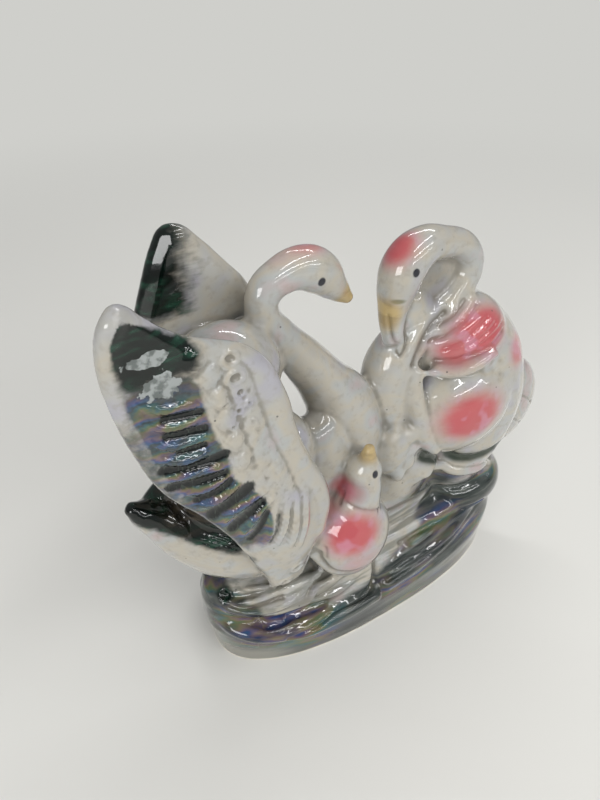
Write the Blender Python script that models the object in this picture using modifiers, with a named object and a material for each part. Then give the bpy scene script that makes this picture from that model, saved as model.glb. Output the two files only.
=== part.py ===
"""Swan pair figurine: two swans and a cygnet on an oval wave, one slip-cast porcelain piece.

The origin is the middle of the underside, +X runs from the swan with raised wings to the swan
with folded wings, and +Z is up. The near side, with the cygnet, is -Y. Heights of the birds
are given above the water, so they ride on the wave whatever its height.
"""

import math

import bmesh
import bpy
from mathutils import Matrix

for old_object in list(bpy.data.objects):
    bpy.data.objects.remove(old_object, do_unlink=True)

# Driving sizes, in metres
BASE_LENGTH = 0.131
BASE_WIDTH = 0.0512
BASE_HEIGHT = 0.030
BASE_SQUARENESS = 2.4
RIM_HEIGHT = 0.016
RIM_BULGE = 0.0012
FOOT_WIDTH = 0.0055
FOOT_RECESS = 0.0025
POUR_HOLE_DIAMETER = 0.009
POUR_HOLE_DEPTH = 0.008
WING_WALL = 0.0070
WING_RIM = 0.0026
NEAR_SHOULDER = 0.0042
FAR_SHOULDER = 0.0036
QUILL_RIDGE = 0.0014
FOLDED_QUILL_RIDGE = 0.0016
NECK_FLATNESS = 0.90
BODY_FLATNESS = 0.92

# How many raised quills a spread wing carries, level ones above and fanned ones below
LEVEL_QUILLS = 10
FAN_QUILLS = 5

# The grain that all forms fuse at, how far the glaze softens them, and the facets kept
CASTING_GRAIN = 0.0010
GLAZE_SOFTENING = 3
FACET_SHARE = 0.052

WATER = BASE_HEIGHT
HALF_LENGTH = BASE_LENGTH / 2.0
HALF_WIDTH = BASE_WIDTH / 2.0
NEAR = -1.0
FAR = 1.0

# Waves on each side: (share of half length, share of half width, height above water, radius)
WAVES = [
    [(-0.08, 0.88, -0.014, 0.0030), (0.12, 0.84, -0.011, 0.0045), (0.34, 0.76, -0.009, 0.0050),
     (0.58, 0.61, -0.008, 0.0045), (0.81, 0.39, -0.006, 0.0035), (0.96, 0.08, -0.004, 0.0020)],
    [(0.24, 0.64, -0.001, 0.0020), (0.61, 0.53, 0.001, 0.0026),
     (0.85, 0.31, 0.001, 0.0022), (0.98, 0.00, 0.002, 0.0014)],
    [(0.15, 0.76, -0.005, 0.0020), (0.55, 0.64, -0.004, 0.0026),
     (0.82, 0.43, -0.003, 0.0024), (0.98, 0.08, -0.001, 0.0014)],
    [(-0.98, 0.00, -0.008, 0.0020), (-0.92, 0.47, -0.010, 0.0028), (-0.69, 0.82, -0.012, 0.0032),
     (-0.38, 0.94, -0.013, 0.0032), (-0.12, 0.96, -0.014, 0.0022)],
    [(-0.95, 0.23, 0.001, 0.0016), (-0.70, 0.66, 0.000, 0.0022),
     (-0.49, 0.74, 0.000, 0.0022), (-0.31, 0.74, 0.002, 0.0016)],
    [(-0.84, 0.39, 0.006, 0.0014), (-0.64, 0.62, 0.005, 0.0018), (-0.46, 0.68, 0.006, 0.0016)],
]

# Limbs are (x, y, height above water, radius) stations
LEFT_HULL = [
    (-0.0835, 0.0, 0.0545, 0.0020),
    (-0.0810, 0.0, 0.0512, 0.0038),
    (-0.0740, 0.0, 0.0430, 0.0074),
    (-0.0640, 0.0, 0.0335, 0.0128),
    (-0.0500, 0.0, 0.0270, 0.0180),
    (-0.0340, 0.0, 0.0260, 0.0185),
    (-0.0200, 0.0, 0.0320, 0.0150),
    (-0.0100, 0.0, 0.0400, 0.0115),
]
LEFT_TAIL_RIDGE = [
    (-0.0775, 0.003, 0.0490, 0.0030),
    (-0.0700, 0.004, 0.0520, 0.0045),
    (-0.0600, 0.004, 0.0480, 0.0080),
]
LEFT_SHOULDER = [
    (-0.0340, 0.0, 0.0300, 0.0130),
    (-0.0368, 0.0, 0.0590, 0.0100),
    (-0.0420, 0.0, 0.0740, 0.0060),
    (-0.0410, 0.0, 0.0880, 0.0070),
    (-0.0440, 0.0, 0.1000, 0.0060),
]
LEFT_NECK = [
    (-0.0190, 0.0, 0.0200, 0.0130),
    (-0.0150, 0.0, 0.0281, 0.0150),
    (-0.0105, 0.0, 0.0441, 0.0140),
    (-0.0120, 0.0, 0.0601, 0.0118),
    (-0.0190, 0.0, 0.0725, 0.0085),
    (-0.0275, 0.0, 0.0850, 0.0066),
    (-0.0349, 0.0, 0.0949, 0.0053),
    (-0.0389, 0.0, 0.1025, 0.0047),
    (-0.0380, 0.0, 0.1081, 0.0049),
    (-0.0333, 0.0, 0.1112, 0.0053),
    (-0.0273, 0.0, 0.1120, 0.0060),
    (-0.0217, 0.0, 0.1095, 0.0062),
    (-0.0170, 0.0, 0.1045, 0.0046),
    (-0.0135, 0.0, 0.1008, 0.0030),
    (-0.0105, 0.0, 0.0980, 0.0018),
]
RIGHT_BODY = [
    (0.0270, 0.0, 0.0830, 0.0115),
    (0.0385, 0.0, 0.0700, 0.0165),
    (0.0465, 0.0, 0.0520, 0.0200),
    (0.0460, 0.0, 0.0340, 0.0205),
    (0.0420, 0.0, 0.0160, 0.0170),
    (0.0390, 0.0, 0.0020, 0.0150),
]
RIGHT_NECK = [
    (0.0190, 0.0, 0.0250, 0.0150),
    (0.0135, 0.0, 0.0340, 0.0132),
    (0.0090, 0.0, 0.0497, 0.0112),
    (0.0062, 0.0, 0.0630, 0.0096),
    (0.0080, 0.0, 0.0720, 0.0086),
    (0.0131, 0.0, 0.0774, 0.0074),
    (0.0227, 0.0, 0.0829, 0.0061),
    (0.0312, 0.0, 0.0893, 0.0053),
    (0.0354, 0.0, 0.0965, 0.0048),
    (0.0325, 0.0, 0.1035, 0.0046),
    (0.0220, 0.0, 0.1078, 0.0050),
    (0.0140, 0.0, 0.1080, 0.0062),
    (0.0087, 0.0, 0.1040, 0.0069),
    (0.0066, 0.0, 0.0979, 0.0064),
    (0.0058, 0.0, 0.0915, 0.0050),
    (0.0052, -0.001, 0.0850, 0.0040),
    (0.0049, -0.003, 0.0800, 0.0034),
]
CYGNET_NECK = [
    (-0.0200, -0.0170, 0.028, 0.0060),
    (-0.0190, -0.0175, 0.038, 0.0045),
    (-0.0150, -0.0180, 0.046, 0.0045),
    (-0.0145, -0.0185, 0.053, 0.0030),
    (-0.0143, -0.0185, 0.058, 0.0016),
]
CYGNET_TAIL = [
    (-0.0240, -0.0160, 0.0120, 0.0055),
    (-0.0300, -0.0175, 0.0160, 0.0035),
    (-0.0335, -0.0185, 0.0200, 0.0014),
]

# Rounded masses are a centre (x, y, height above water) and three radii
LEFT_BACK = ((-0.0560, -0.001, 0.0700), (0.0150, 0.0130, 0.0420))
LEFT_SADDLE = ((-0.0500, -0.001, 0.0940), (0.0150, 0.0115, 0.0140))
RIGHT_TAIL = ((0.0635, 0.0, 0.0300), (0.0217, 0.0110, 0.0220))
RIGHT_BREAST = ((0.0110, 0.0, 0.0220), (0.0170, 0.0125, 0.0280))
RIGHT_LOOP_WEB = ((0.0225, 0.0015, 0.0950), (0.0120, 0.0024, 0.0110))
RIGHT_NECK_WEB = ((0.0150, 0.0, 0.0700), (0.0110, 0.0050, 0.0240))
BREAST_FEATHERS = ((0.0090, -0.009, 0.0320), (0.0080, 0.0050, 0.0100))
MIDDLE_FOAM = ((0.0040, 0.0, 0.0080), (0.0340, 0.0125, 0.0180))
CYGNET_BODY = ((-0.0180, -0.0163, 0.0190), (0.0150, 0.0115, 0.0175))
CYGNET_HEAD = ((-0.0140, -0.0180, 0.0460), (0.0062, 0.0055, 0.0065))

# The right swan's folded wings: each side's face is its centre moved by side times y
FOLDED_BACK = ((0.0335, 0.003, 0.0715), (0.0180, 0.0145, 0.0175))
FOLDED_WING = ((0.0355, 0.005, 0.0460), (0.0225, 0.0165, 0.0195))

# Quills on the folded back, each through three (across, up) shares of that face
FOLDED_QUILLS = [
    ((0.14, 0.97), (-0.51, 0.81), (-0.90, 0.43)),
    ((0.19, 0.87), (-0.42, 0.67), (-0.92, 0.32)),
    ((0.22, 0.69), (-0.35, 0.50), (-0.91, 0.20)),
    ((0.24, 0.49), (-0.30, 0.37), (-0.81, 0.12)),
]

# Spread wings are rows of (leading x, trailing x, y, height above water, outward crown)
LEFT_NEAR_WING = [
    (-0.0380, -0.0470, -0.016, 0.0140, -0.001),
    (-0.0365, -0.0495, -0.017, 0.0230, -0.002),
    (-0.0355, -0.0535, -0.018, 0.0330, -0.003),
    (-0.0355, -0.0595, -0.018, 0.0480, -0.003),
    (-0.0375, -0.0675, -0.017, 0.0620, -0.003),
    (-0.0400, -0.0755, -0.016, 0.0740, -0.003),
    (-0.0435, -0.0800, -0.015, 0.0880, -0.002),
    (-0.0480, -0.0825, -0.015, 0.1010, -0.001),
    (-0.0620, -0.0830, -0.015, 0.1110, 0.0),
    (-0.0740, -0.0820, -0.0155, 0.1180, 0.0),
    (-0.0790, -0.0800, -0.016, 0.1215, 0.0),
]
LEFT_FAR_WING = [
    (-0.0380, -0.0470, 0.016, 0.0140, 0.001),
    (-0.0365, -0.0520, 0.017, 0.0230, 0.002),
    (-0.0340, -0.0570, 0.017, 0.0330, 0.003),
    (-0.0330, -0.0630, 0.016, 0.0480, 0.003),
    (-0.0370, -0.0690, 0.015, 0.0620, 0.003),
    (-0.0395, -0.0715, 0.013, 0.0740, 0.003),
    (-0.0400, -0.0710, 0.011, 0.0900, 0.002),
    (-0.0390, -0.0670, 0.010, 0.1030, 0.001),
    (-0.0470, -0.0630, 0.009, 0.1145, 0.0),
    (-0.0530, -0.0600, 0.0085, 0.1215, 0.0),
    (-0.0560, -0.0580, 0.008, 0.1245, 0.0),
]


def add_evaluated(body, guide, flatness=1.0, plane_y=0.0):
    """Take a guide object's finished mesh into the body, and clear the guide away."""
    bpy.context.scene.collection.objects.link(guide)
    depsgraph = bpy.context.evaluated_depsgraph_get()
    solid = bpy.data.meshes.new_from_object(guide.evaluated_get(depsgraph))
    for vertex in solid.vertices:
        vertex.co.y = plane_y + (vertex.co.y - plane_y) * flatness
    body.from_mesh(solid)
    bpy.data.meshes.remove(solid)
    bpy.data.objects.remove(guide, do_unlink=True)


def add_limb(body, stations, flatness=1.0):
    """A tapered tube through its stations, flattened towards the plane of its first one."""
    curve = bpy.data.curves.new("limb_guide", "CURVE")
    curve.dimensions = "3D"
    curve.bevel_depth = 1.0
    curve.bevel_resolution = 5
    curve.resolution_u = 6
    curve.use_fill_caps = True
    spline = curve.splines.new("BEZIER")
    spline.bezier_points.add(len(stations) - 1)
    spline.radius_interpolation = "CARDINAL"
    for point, (x, y, height, radius) in zip(spline.bezier_points, stations):
        point.co = (x, y, WATER + height)
        point.radius = radius
        point.handle_left_type = "AUTO"
        point.handle_right_type = "AUTO"
    add_evaluated(body, bpy.data.objects.new("limb_guide", curve), flatness, stations[0][1])


def add_egg(body, centre, radii):
    """A rounded mass about a centre."""
    x, y, height = centre
    place = Matrix.Translation((x, y, WATER + height)) @ Matrix.Diagonal((*radii, 1.0))
    bmesh.ops.create_uvsphere(body, u_segments=28, v_segments=18, radius=1.0, matrix=place)


def add_ridge(body, points, radius):
    """A raised line that fades at both ends, through (x, y, height above water) points."""
    stations = []
    for step, point in enumerate(points):
        swell = 0.45 + 0.55 * math.sin(math.pi * (step + 0.5) / len(points))
        stations.append((*point, radius * swell))
    add_limb(body, stations)


def add_oval(body, levels):
    """A stack of rounded ovals: (half length, half width, height above the table) levels."""
    segments = 72
    previous = None
    for half_x, half_y, height in levels:
        ring = []
        for step in range(segments):
            angle = 2.0 * math.pi * step / segments
            c = math.cos(angle)
            s = math.sin(angle)
            x = half_x * math.copysign(abs(c) ** (2.0 / BASE_SQUARENESS), c)
            y = half_y * math.copysign(abs(s) ** (2.0 / BASE_SQUARENESS), s)
            ring.append(body.verts.new((x, y, height)))
        edges = [body.edges.new((ring[step - 1], ring[step])) for step in range(segments)]
        if previous is None:
            bmesh.ops.contextual_create(body, geom=edges)
        else:
            bmesh.ops.bridge_loops(body, edges=previous + edges)
        previous = edges
    bmesh.ops.contextual_create(body, geom=previous)


def wing_point(rows, across, along):
    """A point of a wing's middle sheet: across 0 at the leading edge, along by row number."""
    row = max(0, min(int(along), len(rows) - 2))
    share = along - row
    lead_x, trail_x, y, height, crown = [
        low + (high - low) * share for low, high in zip(rows[row], rows[row + 1])
    ]
    bulge = crown * 4.0 * across * (1.0 - across)
    return (lead_x + (trail_x - lead_x) * across, y + bulge, height)


def add_wing_sheet(body, rows):
    """The wing itself: a curved sheet with a wall."""
    last_row = len(rows) - 1
    sheet = bmesh.new()
    bmesh.ops.create_grid(sheet, x_segments=10, y_segments=3 * last_row, size=0.5)
    for vertex in sheet.verts:
        x, y, height = wing_point(rows, vertex.co.x + 0.5, (vertex.co.y + 0.5) * last_row)
        vertex.co = (x, y, WATER + height)
    mesh = bpy.data.meshes.new("wing_guide")
    sheet.to_mesh(mesh)
    sheet.free()
    guide = bpy.data.objects.new("wing_guide", mesh)
    wall = guide.modifiers.new("wall", "SOLIDIFY")
    wall.thickness = WING_WALL
    wall.offset = 0.0
    add_evaluated(body, guide)
    bpy.data.meshes.remove(mesh)


def add_spread_wing(body, rows, side, shoulder):
    """A raised wing with a thick leading edge, a rounded rim and quills on its outer face."""
    add_wing_sheet(body, rows)
    last_row = len(rows) - 1
    tip_rows = 3
    rim = []
    for row in range(2, last_row + 1):
        radius = shoulder if row < last_row - tip_rows else WING_RIM
        rim.append((*wing_point(rows, 0.0, row), radius))
    face = side * (WING_WALL / 2.0 - WING_RIM * 0.55)
    for row in range(last_row, -1, -1):
        x, y, height = wing_point(rows, 1.0, row)
        rim.append((x, y + face * 0.5, height, WING_RIM))
    add_limb(body, rim)

    quills = []
    for quill in range(LEVEL_QUILLS):
        row = 7.6 - quill * 4.7 / LEVEL_QUILLS
        quills.append([(0.97, row - 0.1), (0.72, row), (0.46, row - 0.15)])
    for quill in range(FAN_QUILLS):
        turn = quill * 5.0 / FAN_QUILLS
        quills.append([
            (0.95 - 0.17 * turn, 2.7 - 0.50 * turn),
            (0.62 - 0.13 * turn, 3.2 - 0.42 * turn),
            (0.38 - 0.09 * turn, 3.9 - 0.40 * turn),
        ])
    for quill in quills:
        points = [wing_point(rows, across, along) for across, along in quill]
        add_ridge(body, [(x, y + face * 1.6, height) for x, y, height in points], QUILL_RIDGE)


def add_wave(body):
    """The oval base, its two swells of water and the waves that run along its sides."""
    add_oval(body, [
        (HALF_LENGTH - 0.0020, HALF_WIDTH - 0.0010, -0.004),
        (HALF_LENGTH - 0.0015, HALF_WIDTH - 0.0005, 0.0),
        (HALF_LENGTH - RIM_BULGE, HALF_WIDTH - RIM_BULGE * 0.5, RIM_HEIGHT * 0.4),
        (HALF_LENGTH, HALF_WIDTH, RIM_HEIGHT * 0.8),
        (HALF_LENGTH + RIM_BULGE, HALF_WIDTH - RIM_BULGE, RIM_HEIGHT),
        (HALF_LENGTH + RIM_BULGE, HALF_WIDTH * 0.86, RIM_HEIGHT + 0.004),
        (HALF_LENGTH + RIM_BULGE, HALF_WIDTH * 0.74, WATER - 0.002),
        (HALF_LENGTH, HALF_WIDTH * 0.62, WATER + 0.003),
        (HALF_LENGTH - 0.004, HALF_WIDTH * 0.45, WATER + 0.005),
    ])
    add_egg(body, (HALF_LENGTH * 0.70, 0.0, 0.001), (HALF_LENGTH * 0.345, HALF_WIDTH * 0.75, 0.012))
    add_egg(body, (-HALF_LENGTH * 0.64, 0.0, 0.0), (HALF_LENGTH * 0.36, HALF_WIDTH * 0.78, 0.009))
    add_egg(body, *MIDDLE_FOAM)
    for side in (NEAR, FAR):
        for wave in WAVES:
            add_limb(body, [
                (x * HALF_LENGTH, side * y * HALF_WIDTH, height, radius)
                for x, y, height, radius in wave
            ])


def add_left_swan(body):
    """The swan with raised wings, its neck curved over towards its mate."""
    add_limb(body, LEFT_HULL)
    add_limb(body, LEFT_TAIL_RIDGE)
    add_limb(body, LEFT_SHOULDER)
    add_limb(body, LEFT_NECK, NECK_FLATNESS)
    add_egg(body, *LEFT_BACK)
    add_egg(body, *LEFT_SADDLE)
    add_spread_wing(body, LEFT_NEAR_WING, NEAR, NEAR_SHOULDER)
    add_spread_wing(body, LEFT_FAR_WING, FAR, FAR_SHOULDER)


def add_right_swan(body):
    """The swan with folded wings, its beak tucked against its breast."""
    add_limb(body, RIGHT_BODY, BODY_FLATNESS)
    add_limb(body, RIGHT_NECK)
    for mass in (RIGHT_TAIL, RIGHT_BREAST, RIGHT_LOOP_WEB, RIGHT_NECK_WEB, BREAST_FEATHERS):
        add_egg(body, *mass)
    for side in (NEAR, FAR):
        for (x, y, height), radii in (FOLDED_BACK, FOLDED_WING):
            add_egg(body, (x, side * y, height), radii)
        (x, y, height), (radius_x, radius_y, radius_z) = FOLDED_BACK
        for quill in FOLDED_QUILLS:
            points = []
            for across, up in quill:
                out = math.sqrt(1.0 - min(1.0, across * across + up * up))
                points.append((
                    x + across * radius_x, side * (y + out * radius_y), height + up * radius_z
                ))
            add_ridge(body, points, FOLDED_QUILL_RIDGE)


def add_cygnet(body):
    """The young swan against its parent's breast."""
    add_egg(body, *CYGNET_BODY)
    add_egg(body, *CYGNET_HEAD)
    add_limb(body, CYGNET_NECK)
    add_limb(body, CYGNET_TAIL)


figure = bmesh.new()
add_wave(figure)
add_left_swan(figure)
add_right_swan(figure)
add_cygnet(figure)

mesh = bpy.data.meshes.new("swan_figurine")
figure.to_mesh(mesh)
figure.free()
swan_figurine = bpy.data.objects.new("swan_figurine", mesh)
fuse = swan_figurine.modifiers.new("fuse", "REMESH")
fuse.mode = "VOXEL"
fuse.voxel_size = CASTING_GRAIN
fuse.use_smooth_shade = True
soften = swan_figurine.modifiers.new("soften", "SMOOTH")
soften.iterations = GLAZE_SOFTENING
facets = swan_figurine.modifiers.new("facets", "DECIMATE")
facets.ratio = FACET_SHARE

figurine_parts = bpy.data.collections.new("swan_figurine")
cutter_shapes = bpy.data.collections.new("cutters")
bpy.context.scene.collection.children.link(figurine_parts)
bpy.context.scene.collection.children.link(cutter_shapes)
figurine_parts.objects.link(swan_figurine)


def add_cutter(name, shape):
    """Cut the figurine with a closed shape, kept as a guide."""
    bmesh.ops.recalc_face_normals(shape, faces=shape.faces)
    cutter_mesh = bpy.data.meshes.new(name)
    shape.to_mesh(cutter_mesh)
    shape.free()
    cutter = bpy.data.objects.new(name, cutter_mesh)
    cutter.hide_render = True
    cutter.display_type = "WIRE"
    cutter_shapes.objects.link(cutter)
    cut = swan_figurine.modifiers.new(name, "BOOLEAN")
    cut.operation = "DIFFERENCE"
    cut.object = cutter


# The foot is ground flat on the table, with a shallow recess inside it and a blind pour hole
table_depth = 0.020
table = bmesh.new()
table_size = (BASE_LENGTH * 1.5, BASE_WIDTH * 1.5, table_depth, 1.0)
table_place = Matrix.Translation((0.0, 0.0, -table_depth / 2.0)) @ Matrix.Diagonal(table_size)
bmesh.ops.create_cube(table, size=1.0, matrix=table_place)
add_cutter("table", table)

recess_half_length = HALF_LENGTH - FOOT_WIDTH
recess_half_width = HALF_WIDTH - FOOT_WIDTH
recess_corner = FOOT_RECESS / 2.0
recess = bmesh.new()
add_oval(recess, [
    (recess_half_length, recess_half_width, -FOOT_RECESS),
    (recess_half_length, recess_half_width, FOOT_RECESS - recess_corner),
    (recess_half_length - recess_corner, recess_half_width - recess_corner, FOOT_RECESS),
])
add_cutter("recess", recess)

pour_hole = bmesh.new()
pour_hole_radius = POUR_HOLE_DIAMETER / 2.0
bmesh.ops.create_cone(pour_hole, cap_ends=True, segments=24, radius1=pour_hole_radius,
                      radius2=pour_hole_radius, depth=2.0 * POUR_HOLE_DEPTH)
add_cutter("pour_hole", pour_hole)

lustre = bpy.data.materials.new("lustre_porcelain")
lustre.use_nodes = True
glaze = lustre.node_tree.nodes["Principled BSDF"]
glaze.inputs["Base Color"].default_value = (0.60, 0.59, 0.57, 1.0)
glaze.inputs["Roughness"].default_value = 0.12
glaze.inputs["Metallic"].default_value = 0.0
mesh.materials.append(lustre)
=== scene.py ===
"""The looks of a lustre porcelain figurine: two swans and a cygnet on an oval wave."""

import math

import bmesh
import bpy
import numpy as np
from mathutils import Matrix, Vector, noise
from mathutils.bvhtree import BVHTree


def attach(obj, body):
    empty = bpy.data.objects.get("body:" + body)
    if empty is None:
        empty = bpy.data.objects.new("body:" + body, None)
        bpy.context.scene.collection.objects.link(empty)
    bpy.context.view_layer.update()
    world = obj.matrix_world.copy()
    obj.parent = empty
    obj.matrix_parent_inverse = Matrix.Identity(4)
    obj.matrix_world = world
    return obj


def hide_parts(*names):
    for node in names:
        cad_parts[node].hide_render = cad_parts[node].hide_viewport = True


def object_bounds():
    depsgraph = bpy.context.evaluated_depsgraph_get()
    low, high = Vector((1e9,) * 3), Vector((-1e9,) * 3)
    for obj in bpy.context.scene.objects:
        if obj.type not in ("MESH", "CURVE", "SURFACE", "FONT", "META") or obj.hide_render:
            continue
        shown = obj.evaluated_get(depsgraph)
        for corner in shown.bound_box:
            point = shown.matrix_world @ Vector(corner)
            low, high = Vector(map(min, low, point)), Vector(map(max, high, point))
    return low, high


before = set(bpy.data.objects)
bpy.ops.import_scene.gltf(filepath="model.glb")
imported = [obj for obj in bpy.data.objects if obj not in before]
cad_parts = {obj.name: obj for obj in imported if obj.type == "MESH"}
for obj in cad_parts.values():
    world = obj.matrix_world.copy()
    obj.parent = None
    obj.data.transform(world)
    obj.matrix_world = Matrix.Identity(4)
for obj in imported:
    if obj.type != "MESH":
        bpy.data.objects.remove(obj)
cad_low, cad_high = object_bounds()

# The wave base
# The real figurine is one slip-cast porcelain piece, and this is its bottom: a soft oval block
# of water with waves rolled along both long sides. Forms are written in millimetres of a
# figurine of the height below, and take their real size from the frame.
figurine_height = 157.2
mm = cad_high.z / figurine_height
half_length = 65.5
half_width = 25.6
water_level = 30.0
rim_height = 16.0
rim_bulge = 1.2
oval_squareness = 2.4
middle_foam = ((4, 0, 38), (34, 12.5, 18))

# Waves on each side: (x, y, z, radius) stations
waves = [
    [(-5.2, 22.5, 16, 3), (7.9, 21.5, 19, 4.5), (22.3, 19.5, 21, 5), (38, 15.6, 22, 4.5),
     (53.1, 10, 24, 3.5), (62.9, 2, 26, 2)],
    [(15.7, 16.4, 29, 2), (40, 13.6, 31, 2.6), (55.7, 7.9, 31, 2.2), (64.2, 0, 32, 1.4)],
    [(9.8, 19.5, 25, 2), (36, 16.4, 26, 2.6), (53.7, 11, 27, 2.4), (64.2, 2, 29, 1.4)],
    [(-64.2, 0, 22, 2), (-60.3, 12, 20, 2.8), (-45.2, 21, 18, 3.2), (-24.9, 24.1, 17, 3.2),
     (-7.9, 24.6, 16, 2.2)],
    [(-62.2, 5.9, 31, 1.6), (-45.8, 16.9, 30, 2.2), (-32.1, 18.9, 30, 2.2), (-20.3, 18.9, 32, 1.6)],
    [(-55, 10, 36, 1.4), (-41.9, 15.9, 35, 1.8), (-30.1, 17.4, 36, 1.6)],
]


def take_in(clay, guide, flatness=1.0, plane_y=0.0):
    """Press a guide object's finished mesh into the clay, and clear the guide away."""
    bpy.context.scene.collection.objects.link(guide)
    depsgraph = bpy.context.evaluated_depsgraph_get()
    form = bpy.data.meshes.new_from_object(guide.evaluated_get(depsgraph))
    for vertex in form.vertices:
        vertex.co.y = plane_y + (vertex.co.y - plane_y) * flatness
    clay.from_mesh(form, face_normals=False, vertex_normals=False)
    bpy.data.meshes.remove(form)
    bpy.data.objects.remove(guide, do_unlink=True)


def add_rolls(clay, rolls, flatness=1.0, fineness=10):
    """Tapered rolls of clay, each through (x, y, z, radius) stations."""
    curve = bpy.data.curves.new("rolls", "CURVE")
    curve.dimensions = "3D"
    curve.bevel_depth = 1.0
    curve.bevel_resolution = 8
    curve.resolution_u = fineness
    curve.use_fill_caps = True
    for stations in rolls:
        spline = curve.splines.new("BEZIER")
        spline.bezier_points.add(len(stations) - 1)
        spline.radius_interpolation = "CARDINAL"
        for point, (x, y, z, radius) in zip(spline.bezier_points, stations):
            point.co = Vector((x, y, z)) * mm
            point.radius = radius * mm
            point.handle_left_type = "AUTO"
            point.handle_right_type = "AUTO"
    take_in(clay, bpy.data.objects.new("rolls", curve), flatness, rolls[0][0][1] * mm)


def add_mass(clay, centre, radii):
    """A rounded lump of clay about a centre."""
    place = Matrix.Translation(Vector(centre) * mm)
    shape = Matrix.Diagonal((*(Vector(radii) * mm), 1.0))
    bmesh.ops.create_uvsphere(clay, u_segments=48, v_segments=32, radius=1.0, matrix=place @ shape)


def add_oval(clay, levels):
    """A stack of rounded ovals: (half length, half width, z) levels."""
    segments = 120
    previous = None
    for half_x, half_y, z in levels:
        ring = []
        for step in range(segments):
            angle = 2.0 * math.pi * step / segments
            c = math.cos(angle)
            s = math.sin(angle)
            x = half_x * math.copysign(abs(c) ** (2.0 / oval_squareness), c)
            y = half_y * math.copysign(abs(s) ** (2.0 / oval_squareness), s)
            ring.append(clay.verts.new(Vector((x, y, z)) * mm))
        edges = [clay.edges.new((ring[step - 1], ring[step])) for step in range(segments)]
        if previous is None:
            bmesh.ops.contextual_create(clay, geom=edges)
        else:
            bmesh.ops.bridge_loops(clay, edges=previous + edges)
        previous = edges
    bmesh.ops.contextual_create(clay, geom=previous)


clay = bmesh.new()
add_oval(clay, [
    (half_length - 2.0, half_width - 1.0, -4.0),
    (half_length - 1.5, half_width - 0.5, 0.0),
    (half_length - rim_bulge, half_width - rim_bulge / 2, rim_height * 0.4),
    (half_length, half_width, rim_height * 0.8),
    (half_length + rim_bulge, half_width - rim_bulge, rim_height),
    (half_length + rim_bulge, half_width * 0.86, rim_height + 4),
    (half_length + rim_bulge, half_width * 0.74, water_level - 2),
    (half_length, half_width * 0.62, water_level + 3),
    (half_length - 4, half_width * 0.45, water_level + 5),
])
add_mass(clay, (half_length * 0.70, 0, 31), (half_length * 0.345, half_width * 0.75, 12))
add_mass(clay, (-half_length * 0.64, 0, 30), (half_length * 0.36, half_width * 0.78, 9))
add_mass(clay, *middle_foam)
add_rolls(clay, [[(x, side * y, z, radius) for x, y, z, radius in wave]
                 for wave in waves for side in (-1, 1)])

# The left swan
# It rises with both wings up and its neck curved over towards its mate. Body, neck and wings
# are modelled in the same clay, the wings as curved sheets with a rolled edge.
left_hull = [
    (-83.5, 0, 84.5, 2), (-81, 0, 81.2, 3.8), (-74, 0, 73, 7.4), (-64, 0, 63.5, 12.8),
    (-50, 0, 57, 18), (-34, 0, 56, 18.5), (-20, 0, 62, 15), (-10, 0, 70, 11.5),
]
left_tail_ridge = [(-77.5, 3, 79, 3), (-70, 4, 82, 4.5), (-60, 4, 78, 8)]
left_shoulder = [
    (-34, 0, 60, 13), (-36.8, 0, 89, 10), (-42, 0, 104, 6), (-41, 0, 118, 7), (-44, 0, 130, 6),
]
left_neck = [
    (-19, 0, 50, 13), (-15, 0, 58.1, 15), (-10.5, 0, 74.1, 14), (-12, 0, 90.1, 11.8),
    (-19, 0, 102.5, 8.5), (-27.5, 0, 115, 6.6), (-34.9, 0, 124.9, 5.3), (-38.9, 0, 132.5, 4.7),
    (-38, 0, 138.1, 4.9), (-33.3, 0, 141.2, 5.3), (-27.3, 0, 142, 6), (-21.7, 0, 139.5, 6.2),
    (-17, 0, 134.5, 4.6), (-13.5, 0, 130.8, 3), (-10.5, 0, 128, 1.8),
]
left_back = ((-56, -1, 95.5), (15, 13, 38))
left_web = ((-34, -4, 84), (7.5, 10, 15))
left_saddle = ((-52, -3, 121), (15, 12, 13))

# Wings are rows of (leading x, trailing x, y, z, outward crown), from the root to the tip
near_wing = [
    (-38, -47, -16, 44, -1), (-36.5, -49.5, -17, 53, -2), (-34, -53.5, -18, 63, -3),
    (-33, -59.5, -18, 78, -3), (-38.5, -67.5, -17, 92, -3), (-42.5, -75.5, -16, 104, -3),
    (-45.5, -80, -15, 118, -2), (-50.5, -82.5, -15, 131, -1), (-68.5, -83, -15, 141, 0),
    (-76, -82, -15.5, 148, 0), (-79, -80, -16, 151.5, 0),
]
far_wing = [
    (-38, -47, 16, 44, 1), (-36.5, -52, 17, 53, 2), (-34, -57, 17, 63, 3), (-33, -63, 16, 78, 3),
    (-37, -69, 15, 92, 3), (-39.5, -71.5, 13, 104, 3), (-40, -71, 11, 120, 2),
    (-39, -67, 10, 133, 1), (-47, -63, 9, 144.5, 0), (-53, -60, 8.5, 151.5, 0),
    (-56, -58, 8, 154.5, 0),
]
wing_wall = 5.8
wing_rim = 2.6
near_shoulder = 4.2
far_shoulder = 3.6
neck_flatness = 0.90


def smooth_row(rows, along):
    """The wing's row at any place along it, as a smooth curve through the rows."""
    step = max(0, min(int(along), len(rows) - 2))
    t = along - step
    before, here, after, beyond = (
        np.array(rows[max(0, min(step + shift, len(rows) - 1))], float) for shift in (-1, 0, 1, 2)
    )
    bend = 2 * before - 5 * here + 4 * after - beyond
    twist = beyond - before + 3 * (here - after)
    return here + 0.5 * t * (after - before + t * (bend + t * twist))


def wing_point(rows, across, along):
    """A point of a wing's middle sheet: across is 0 at the leading edge and 1 at the trailing."""
    lead_x, trail_x, y, z, crown = smooth_row(rows, along)
    return (lead_x + (trail_x - lead_x) * across, y + crown * 4 * across * (1 - across), z)


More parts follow.
